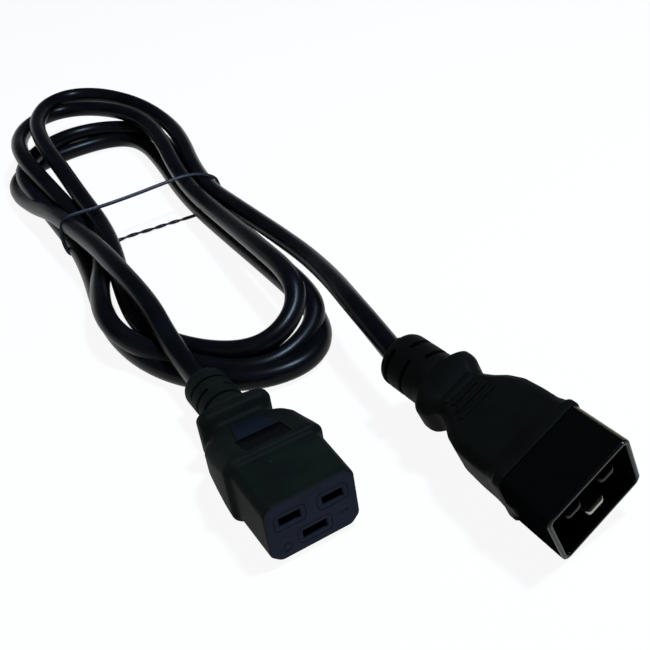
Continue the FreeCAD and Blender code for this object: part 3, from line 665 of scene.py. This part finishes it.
# --------------------------------------------------------------------------
# C20 plug
# --------------------------------------------------------------------------
def make_c20_moulding(material):
    """Grip with a low step before its pull bar, side lugs and slotted strain relief in one moulding."""
    relief, slot_depth, slot_width = 9.05, 2.2, 1.4
    first_slot, slot_pitch, slot_angle = 66.6, 3.6, 160
    # y, half width, height above and below, cuts of the corners
    rows = [
        section(17.9, 15.7, 11.9, 11.9, (1.8, 1.6), soft=1.4),
        section(18.3, 15.85, 12.1, 12.1, (1.9, 1.6), soft=1.4),
        section(20.6, 15.85, 11.9, 11.9, (2.0, 1.6), soft=1.4),
        section(21.4, 15.2, 11.45, 11.5, (2.2, 1.7), soft=1.4),
        section(25.0, 14.9, 9.9, 9.9, (2.4, 1.9), soft=1.2),
        section(31.0, 14.9, 9.0, 9.0, (2.5, 2.0), soft=1.0),
        section(38.0, 14.4, 8.35, 8.35, (2.6, 2.1), soft=0.9),
        section(43.0, 12.7, 7.9, 7.9, (2.6, 2.2), soft=0.9),
        section(46.5, 10.5, 7.5, 7.5, (2.5, 2.2), soft=0.9),
        section(50.0, 8.8, 7.4, 7.4, (2.4, 2.2), soft=0.9),
        section(52.2, 9.2, 7.8, 7.8, (2.8, 2.4), soft=1.2),
        section(54.4, 11.3, 8.35, 8.35, (3.2, 2.9), soft=1.6),
        section(56.0, 11.9, 8.5, 8.5, (3.4, 3.2), soft=2.0),
        section(58.9, 11.9, 8.5, 8.5, (3.4, 3.2), soft=2.0),
        section(60.6, 10.9, 8.5, 8.5, (3.4, 3.4), soft=2.4, disc=0.2),
        section(62.0, 9.3, 8.6, 8.6, (3.4, 3.4), soft=2.4, disc=0.6),
        section(64.0, 9.1, 9.1, disc=1.0),
        section(79.0, 9.0, 9.0, disc=1.0),
        section(80.6, 8.4, 8.4, disc=1.0),
        section(81.4, 7.0, 7.0, disc=1.0),
    ]
    body = loft("c20_moulding", ease(rows, 0.8), C20_PLACE)
    # four slots in the relief, by turns on the right and on the left
    carve(body, [slot_cutter("slot", first_slot + slot_pitch * number, relief, slot_depth, slot_width,
                             180 * (number % 2), slot_angle, C20_PLACE) for number in range(4)])
    lugs = [loft("c20_lug", [
        section(14.4, 0.7, 2.7, cut=(0.2, 0.2), soft=0.2),
        section(14.8, 1.0, 3.0, cut=(0.4, 0.4), soft=0.3),
        section(17.2, 1.0, 3.0, cut=(0.4, 0.4), soft=0.3),
        section(17.9, 0.7, 2.7, cut=(0.2, 0.2), soft=0.2),
    ], C20_PLACE @ Matrix.Translation((across, 0, 0)), 3) for across in (-15.15, 16.1)]
    # the low step in front of the pull bar, on the top and under it
    steps = loft("c20_steps", [
        section(49.6, 5.4, 7.75, cut=(0.3, 0.25), soft=0.3),
        section(50.1, 5.8, 7.95, cut=(0.3, 0.25), soft=0.3),
        section(51.9, 5.8, 8.1, cut=(0.3, 0.25), soft=0.3),
        section(52.6, 5.4, 7.8, cut=(0.3, 0.25), soft=0.3),
    ], C20_PLACE, 3)
    whole = lean(merged("c20_moulding_and_lugs", [body, *lugs, steps]), C20_PLACE, c20_lean)
    return dress(whole, material, "c20_overmould", "c20_housing")


def make_c20_shroud(material, lip_material, painted_reflection_material):
    """The open shroud with its floor, walled from the inside round the lip to the outside."""
    def wall(y, half, height, cut, soft):
        return section(y, half, height, cut=(cut, cut), soft=soft)
    rows = [
        wall(17.9, 13.7, 9.8, 0.7, 0.8),
        wall(17.4, 13.72, 9.82, 0.8, 0.9),
        wall(0.6, 14.1, 10.2, 0.8, 0.9),
        wall(0.15, 14.22, 10.32, 0.85, 0.9),
        wall(0.0, 14.5, 10.6, 0.9, 1.0),
        wall(0.0, 15.1, 11.2, 1.3, 1.3),
        wall(0.2, 15.5, 11.6, 1.5, 1.4),
        wall(0.6, 15.6, 11.7, 1.6, 1.4),
        wall(17.9, 15.3, 11.4, 1.6, 1.4),
        wall(20.9, 15.2, 11.3, 1.6, 1.4),
    ]
    shroud = loft("c20_shroud", rows, C20_PLACE)
    dress(shroud, material, "c20_shroud", "c20_pin_carrier", angle=50.0)
    # the lip, and the long edge along the upper right of the shroud, whose warm colour is a painted
    # reflection
    paint(shroud, C20_PLACE, lip_material, lambda at, way: at.y < 0.45 and way.y < -0.15)
    paint(shroud, C20_PLACE, painted_reflection_material, lambda at, way: 0.6 < at.y < 17.0 and at.x > 13.4 and at.z > 9.4
          and 0.50 < way.x < 0.88)
    return shroud


def make_c20_pins(finishes):
    """Three flat blades with rounded tips, each with the crimp barrel behind the shroud's floor."""
    for pole, across, up, _, width in POLES:
        half, thick = width / 2, BLADE_THICK / 2
        rows = [section(y, half - inset, thick - thin, cut=(0.22, 0.22), soft=0.22)
                for y, inset, thin in ((0.9, 1.35, 0.55), (1.0, 0.95, 0.32), (1.25, 0.55, 0.16),
                                       (1.7, 0.2, 0.05), (2.3, 0.0, 0.0), (23.9, 0.0, 0.0))]
        blade = loft("blade", rows, C20_PLACE, 3, (across, up))
        barrel = ringed("barrel", tube_points(CRIMP_RADIUS, 23.9, 30.9, across, up), C20_PLACE)
        pin = merged("c20_%s_blade" % pole, [blade, barrel])
        dress(pin, finishes[pole], "pin_metal", "c20_%s_pin" % pole)


# --------------------------------------------------------------------------
# Geometry Nodes: the ribs on the grip, and the tie
# --------------------------------------------------------------------------
class Graph(Kit):
    """A Geometry Nodes tree with named inputs, run on an object and made plain."""

    def __init__(self, name, sizes):
        super().__init__(bpy.data.node_groups.new(name, "GeometryNodeTree"))
        self.sizes = sizes
        self.keys = {}
        for way in ("INPUT", "OUTPUT"):
            self.tree.interface.new_socket("Geometry", in_out=way, socket_type="NodeSocketGeometry")
        kinds = {float: "NodeSocketFloat", int: "NodeSocketInt", tuple: "NodeSocketVector"}
        for key, value in sizes.items():
            made = self.tree.interface.new_socket(key, in_out="INPUT", socket_type=kinds[type(value)])
            self.keys[key] = made.identifier
        self.inputs = self.tree.nodes.new("NodeGroupInput").outputs

    def __getitem__(self, key):
        """A named input of the tree."""
        return Signal(self, self.inputs[key])

    def finish(self, geometry, material):
        """Make the instances real, give them their material and end the tree."""
        real = self.node("GeometryNodeRealizeInstances", None, {"Geometry": geometry})
        done = self.node("GeometryNodeSetMaterial", None, {"Geometry": real, "Material": material})
        self.node("NodeGroupOutput", None, {"Geometry": done})

    def run(self, made):
        """Apply the tree to an object and return it as a plain mesh object."""
        step = made.modifiers.new(self.tree.name, "NODES")
        step.node_group = self.tree
        for key, value in self.sizes.items():
            step[self.keys[key]] = value
        bpy.context.view_layer.update()
        mesh = bpy.data.meshes.new_from_object(made.evaluated_get(bpy.context.evaluated_depsgraph_get()))
        name = made.name
        bpy.data.objects.remove(made)
        return add_object(name, mesh)


def make_grip_ribs(material):
    """Three finger ribs on the top of the C20's grip and three under it, each shorter than the last."""
    graph = Graph("grip_ribs", {
        "Count": 3, "Pitch": 2.8 * MM, "First Length": 13.6 * MM, "Shorter By": 1.9 * MM,
        "Thickness": 0.42 * MM, "First Place": 42.4 * MM, "Height": 8.0 * MM, "Fall": 0.22 * MM,
        "Origin": tuple(C20_PLACE.translation * MM), "Turn": tuple(C20_PLACE.to_euler()),
    })
    # one round bar of unit length and radius, thinned only close to its two ends
    bar = graph.node("GeometryNodeCurvePrimitiveLine", None, {"Start": (-0.5, 0, 0), "End": (0.5, 0, 0)})
    bar = graph.node("GeometryNodeResampleCurve", None, {"Curve": bar, "Count": 25})
    share = graph.node("GeometryNodeSplineParameter")
    off_middle = share.math("MULTIPLY_ADD", 2.0, -1.0).math("ABSOLUTE")
    width = (1.0 - off_middle.math("POWER", 16.0)).math("POWER", 0.5)
    bar = graph.node("GeometryNodeSetCurveRadius", None, {"Curve": bar, "Radius": width})
    circle = graph.node("GeometryNodeCurvePrimitiveCircle", None, {"Resolution": 12, "Radius": 1.0})
    thick = graph.node("GeometryNodeCurveToMesh", None,
                       {"Curve": bar, "Profile Curve": circle, "Fill Caps": True})
    index = graph.node("GeometryNodeInputIndex")
    rows = []
    for side in (1.0, -1.0):
        height = (graph["Height"] - index * graph["Fall"]) * side
        along = graph["First Place"] + index * graph["Pitch"]
        row = graph.node("GeometryNodeMeshLine", None, {"Count": graph["Count"]})
        spot = graph.node("ShaderNodeCombineXYZ", None, {"Y": along, "Z": height})
        rows.append(graph.node("GeometryNodeSetPosition", None, {"Geometry": row, "Position": spot}))
    places = graph.node("GeometryNodeJoinGeometry", None, {"Geometry": rows})
    # the index runs on through both rows, so the length counts from the start of each
    own = index.math("MODULO", graph["Count"])
    length = graph["First Length"] - own * graph["Shorter By"]
    scale = graph.node("ShaderNodeCombineXYZ", None,
                       {"X": length, "Y": graph["Thickness"], "Z": graph["Thickness"]})
    ribs = graph.node("GeometryNodeInstanceOnPoints", None,
                      {"Points": places, "Instance": thick, "Scale": scale})
    placed = graph.node("GeometryNodeTransform", None,
                        {"Geometry": ribs, "Translation": graph["Origin"], "Rotation": graph["Turn"]})
    graph.finish(placed, material)
    start = add_object("c20_grip_ribs", bpy.data.meshes.new("seed"))
    return dress(graph.run(start), material, "c20_overmould")


# the tie's way: down the right side, to the left under the coil, up and back over it
TIE_ROUTE = [
    (63.8, 174, 12), (64.4, 173, 6), (63.5, 172, 1.9), (59, 171.5, 0.9), (51, 171.5, 0.9), (44, 171.6, 0.9),
    (36, 171.4, 1.4), (28, 171.8, 1.2), (20, 172.6, 1.3), (12, 172.3, 0.95), (4, 172.3, 0.9), (-3, 172, 0.9),
    (-7.2, 172, 1.6), (-8.5, 172, 6), (-8.5, 172, 12), (-7.2, 172, 17.2), (-4, 172.4, 19.3),
    (4, 172.8, 18.9), (12, 173.4, 18.4), (26, 174.6, 18.3), (40, 176, 18.6), (50, 176.8, 18.6),
    (56, 176.8, 17.6), (61, 176, 15.6), (63.4, 175, 13.8),
]


def make_tie(material):
    """A thin flat tie led round both sides of the coil, its low stretch twisted."""
    graph = Graph("wire_tie", {
        "Width": 1.6 * MM, "Thickness": 0.8 * MM, "Spacing": 0.7 * MM, "Turns": 5.0,
        "Twist From": 12.0 * MM, "Twist To": 44.0 * MM, "Low Below": 3.0 * MM, "Edge": 0.3 * MM,
    })
    line = graph.node("GeometryNodeResampleCurve", {"mode": "LENGTH"},
                      {"Curve": graph["Geometry"], "Length": graph["Spacing"]})
    here = graph.node("GeometryNodeInputPosition")
    twist = graph.node("ShaderNodeMapRange", None, {
        "Value": here.part("X"), "From Min": graph["Twist From"], "From Max": graph["Twist To"]})
    low = here.part("Z").math("LESS_THAN", graph["Low Below"])
    angle = twist * graph["Turns"] * math.pi
    line = graph.node("GeometryNodeSetCurveTilt", None, {"Curve": line, "Tilt": angle * low})
    band = graph.node("GeometryNodeCurvePrimitiveQuadrilateral", None,
                      {"Width": graph["Width"], "Height": graph["Thickness"]})
    band = graph.node("GeometryNodeFilletCurve", {"mode": "POLY"},
                      {"Curve": band, "Count": 3, "Radius": graph["Edge"]})
    mesh = graph.node("GeometryNodeCurveToMesh", None, {"Curve": line, "Profile Curve": band})
    graph.finish(mesh, material)
    start = nurbs_line("wire_tie", TIE_ROUTE, closed=True)
    start.data.twist_mode = "MINIMUM"
    return dress(graph.run(start), material, "tie_plastic", "cable_tie")


# --------------------------------------------------------------------------
# Inner pieces, stage and lights
# --------------------------------------------------------------------------
def dress_inner_nodes(nodes, jacket):
    """Give the solids' own contacts, wires and sheath ends their finishes."""
    finishes = {
        "_contact": metal("contact_bronze", (0.016, 0.013, 0.009), (0.026, 0.021, 0.015), 0.45),
        "_conductor": metal("copper_strand", (0.55, 0.22, 0.11), (0.76, 0.36, 0.20), 0.30),
        "line_core": wire_insulation("brown_insulation", (0.16, 0.07, 0.03)),
        "neutral_core": wire_insulation("blue_insulation", (0.04, 0.14, 0.42)),
        "earth_core": wire_insulation("green_yellow_insulation", (0.05, 0.26, 0.05), (0.62, 0.55, 0.04)),
        "_sheath": jacket,
    }
    for name, node in nodes.items():
        for ending, material in finishes.items():
            if name.endswith(ending):
                for place in node.material_slots:
                    place.material = material


def make_floor():
    """A plain pale floor that shows white and keeps the soft shadow."""
    half, height = 3.0, -0.0002
    mesh = bpy.data.meshes.new("floor")
    mesh.from_pydata([(-half, -half, height), (half, -half, height), (half, half, height),
                      (-half, half, height)], [], [(0, 1, 2, 3)])
    floor = add_object("floor", mesh)
    material = bpy.data.materials.new("pale_floor")
    material.use_nodes = True
    kit = Kit(material.node_tree)
    kit.tree.nodes.clear()
    lit = kit.node("ShaderNodeBsdfDiffuse", None, {"Color": rgb(0.90, 0.90, 0.90)})
    white = kit.node("ShaderNodeEmission", None, {"Strength": 1.0})
    own_light = seen_rays(kit) * 0.92
    mix = kit.node("ShaderNodeMixShader", None, {0: own_light, 1: lit, 2: white})
    kit.node("ShaderNodeOutputMaterial", None, {"Surface": mix})
    mesh.materials.append(material)


def seen_rays(kit):
    """1 for the rays that look at the background: from the camera, in a reflection or through glass."""
    camera, mirrored, through = [kit.node("ShaderNodeLightPath", output=name) for name in
                                 ("Is Camera Ray", "Is Glossy Ray", "Is Transmission Ray")]
    return camera.math("MAXIMUM", mirrored).math("MAXIMUM", through)


def make_world():
    """A pale backdrop all round the horizon that falls off to a dim ceiling."""
    world = bpy.data.worlds.new("studio")
    bpy.context.scene.world = world
    world.use_nodes = True
    kit = Kit(world.node_tree)
    kit.tree.nodes.clear()
    height = kit.node("ShaderNodeTexCoord", output="Generated").part("Z")
    stops = ((0.02, rgb(1.0, 1.0, 1.0)), (0.16, rgb(0.03, 0.034, 0.045)))
    fall = kit.node("ShaderNodeValToRGB", {"stops": stops, "easing": "EASE"}, {0: height})
    sky = kit.node("ShaderNodeBackground", None, {"Color": fall})
    kit.node("ShaderNodeOutputWorld", None, {"Surface": sky})


def add_lamp(name, place, target, size, watts, colour):
    """A rectangular lamp at a place, turned to its target."""
    lamp = bpy.data.lights.new(name, "AREA")
    lamp.shape = "RECTANGLE"
    lamp.size, lamp.size_y = size
    lamp.energy = watts
    lamp.color = colour
    made = add_object(name, lamp)
    made.location = place
    made.rotation_euler = (Vector(target) - Vector(place)).to_track_quat("-Z", "Y").to_euler()


def make_camera():
    """A camera above the front left, looking down on the coil along its length."""
    target, distance = Vector((98.74, 50.38, 0)), 376.4
    azimuth, elevation, roll = math.radians(-31.547), math.radians(32.252), math.radians(-4.971)
    back = Vector((math.sin(azimuth) * math.cos(elevation), -math.cos(azimuth) * math.cos(elevation),
                   math.sin(elevation)))
    level_right = Vector((math.cos(azimuth), math.sin(azimuth), 0))
    level_up = back.cross(level_right)
    right = level_right * math.cos(roll) + level_up * math.sin(roll)
    up = level_up * math.cos(roll) - level_right * math.sin(roll)
    camera = add_object("camera", bpy.data.cameras.new("camera"))
    camera.matrix_world = (Matrix.Translation((target + back * distance) * MM)
                           @ Matrix((right, up, back)).transposed().to_4x4())
    camera.data.sensor_width = 36.0
    camera.data.lens = 53.81
    camera.data.shift_x = -0.1686
    camera.data.shift_y = -0.0578
    camera.data.clip_start = 0.01
    camera.data.clip_end = 20.0
    bpy.context.scene.camera = camera


def main():
    """Load the solids, dress them and set the stage."""
    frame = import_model()
    bpy.context.scene.view_settings.view_transform = "Standard"
    make_camera()
    jacket = cord_jacket()
    c19_rubber = soft_moulding("c19_grained_rubber", (0.0032, 0.0045, 0.0034), 0.8)
    c20_rubber = soft_moulding("c20_grained_rubber", (0.0022, 0.0022, 0.0018), 0.8)
    cord = make_cord(jacket)
    carrier = hard_insert("c19_carrier_plastic", (0.0062, 0.0086, 0.0162))
    # the pad's lighter, bluer colour is painted light, and the sunken field's darker one is painted shade
    make_c19_moulding(c19_rubber, carrier, soft_moulding("c19_smooth_pad", (0.0036, 0.0052, 0.0080), 0.3),
                      soft_moulding("c19_sunken_field", (0.0013, 0.0015, 0.0016), 0.3))
    make_c19_carrier(carrier)
    make_c20_moulding(c20_rubber)
    # the edge finish's warm tint is a painted reflection along the shroud's upper right edge
    make_c20_shroud(polished_shroud("polished_black", 0.0), polished_shroud("polished_lip", 0.13),
                    polished_shroud("polished_edge", 0.45, (30.0, 20.0, 9.0)))
    # the line and neutral blades get a near-black copy of the nickel: painted shade inside the shroud
    shaded_nickel = metal("nickel_dull", (0.010, 0.009, 0.008), (0.016, 0.015, 0.013), 0.38)
    bright = metal("nickel_plate", (0.30, 0.275, 0.23), (0.42, 0.39, 0.34), 0.20)
    make_c20_pins({"earth": bright, "line": shaded_nickel, "neutral": shaded_nickel})
    make_grip_ribs(c20_rubber)
    make_tie(tie_wire())
    dress_inner_nodes(frame["nodes"], jacket)
    make_floor()
    make_world()
    add_lamp("window", (0.30, -0.14, 0.90), (0.03, 0.12, 0.0), (0.13, 0.11), 14.0, (0.58, 0.77, 1.0))
    add_lamp("fill_left", (-0.75, -0.35, 0.45), (0.03, 0.08, 0.0), (1.1, 0.8), 1.2, (1.0, 0.93, 0.86))


main()
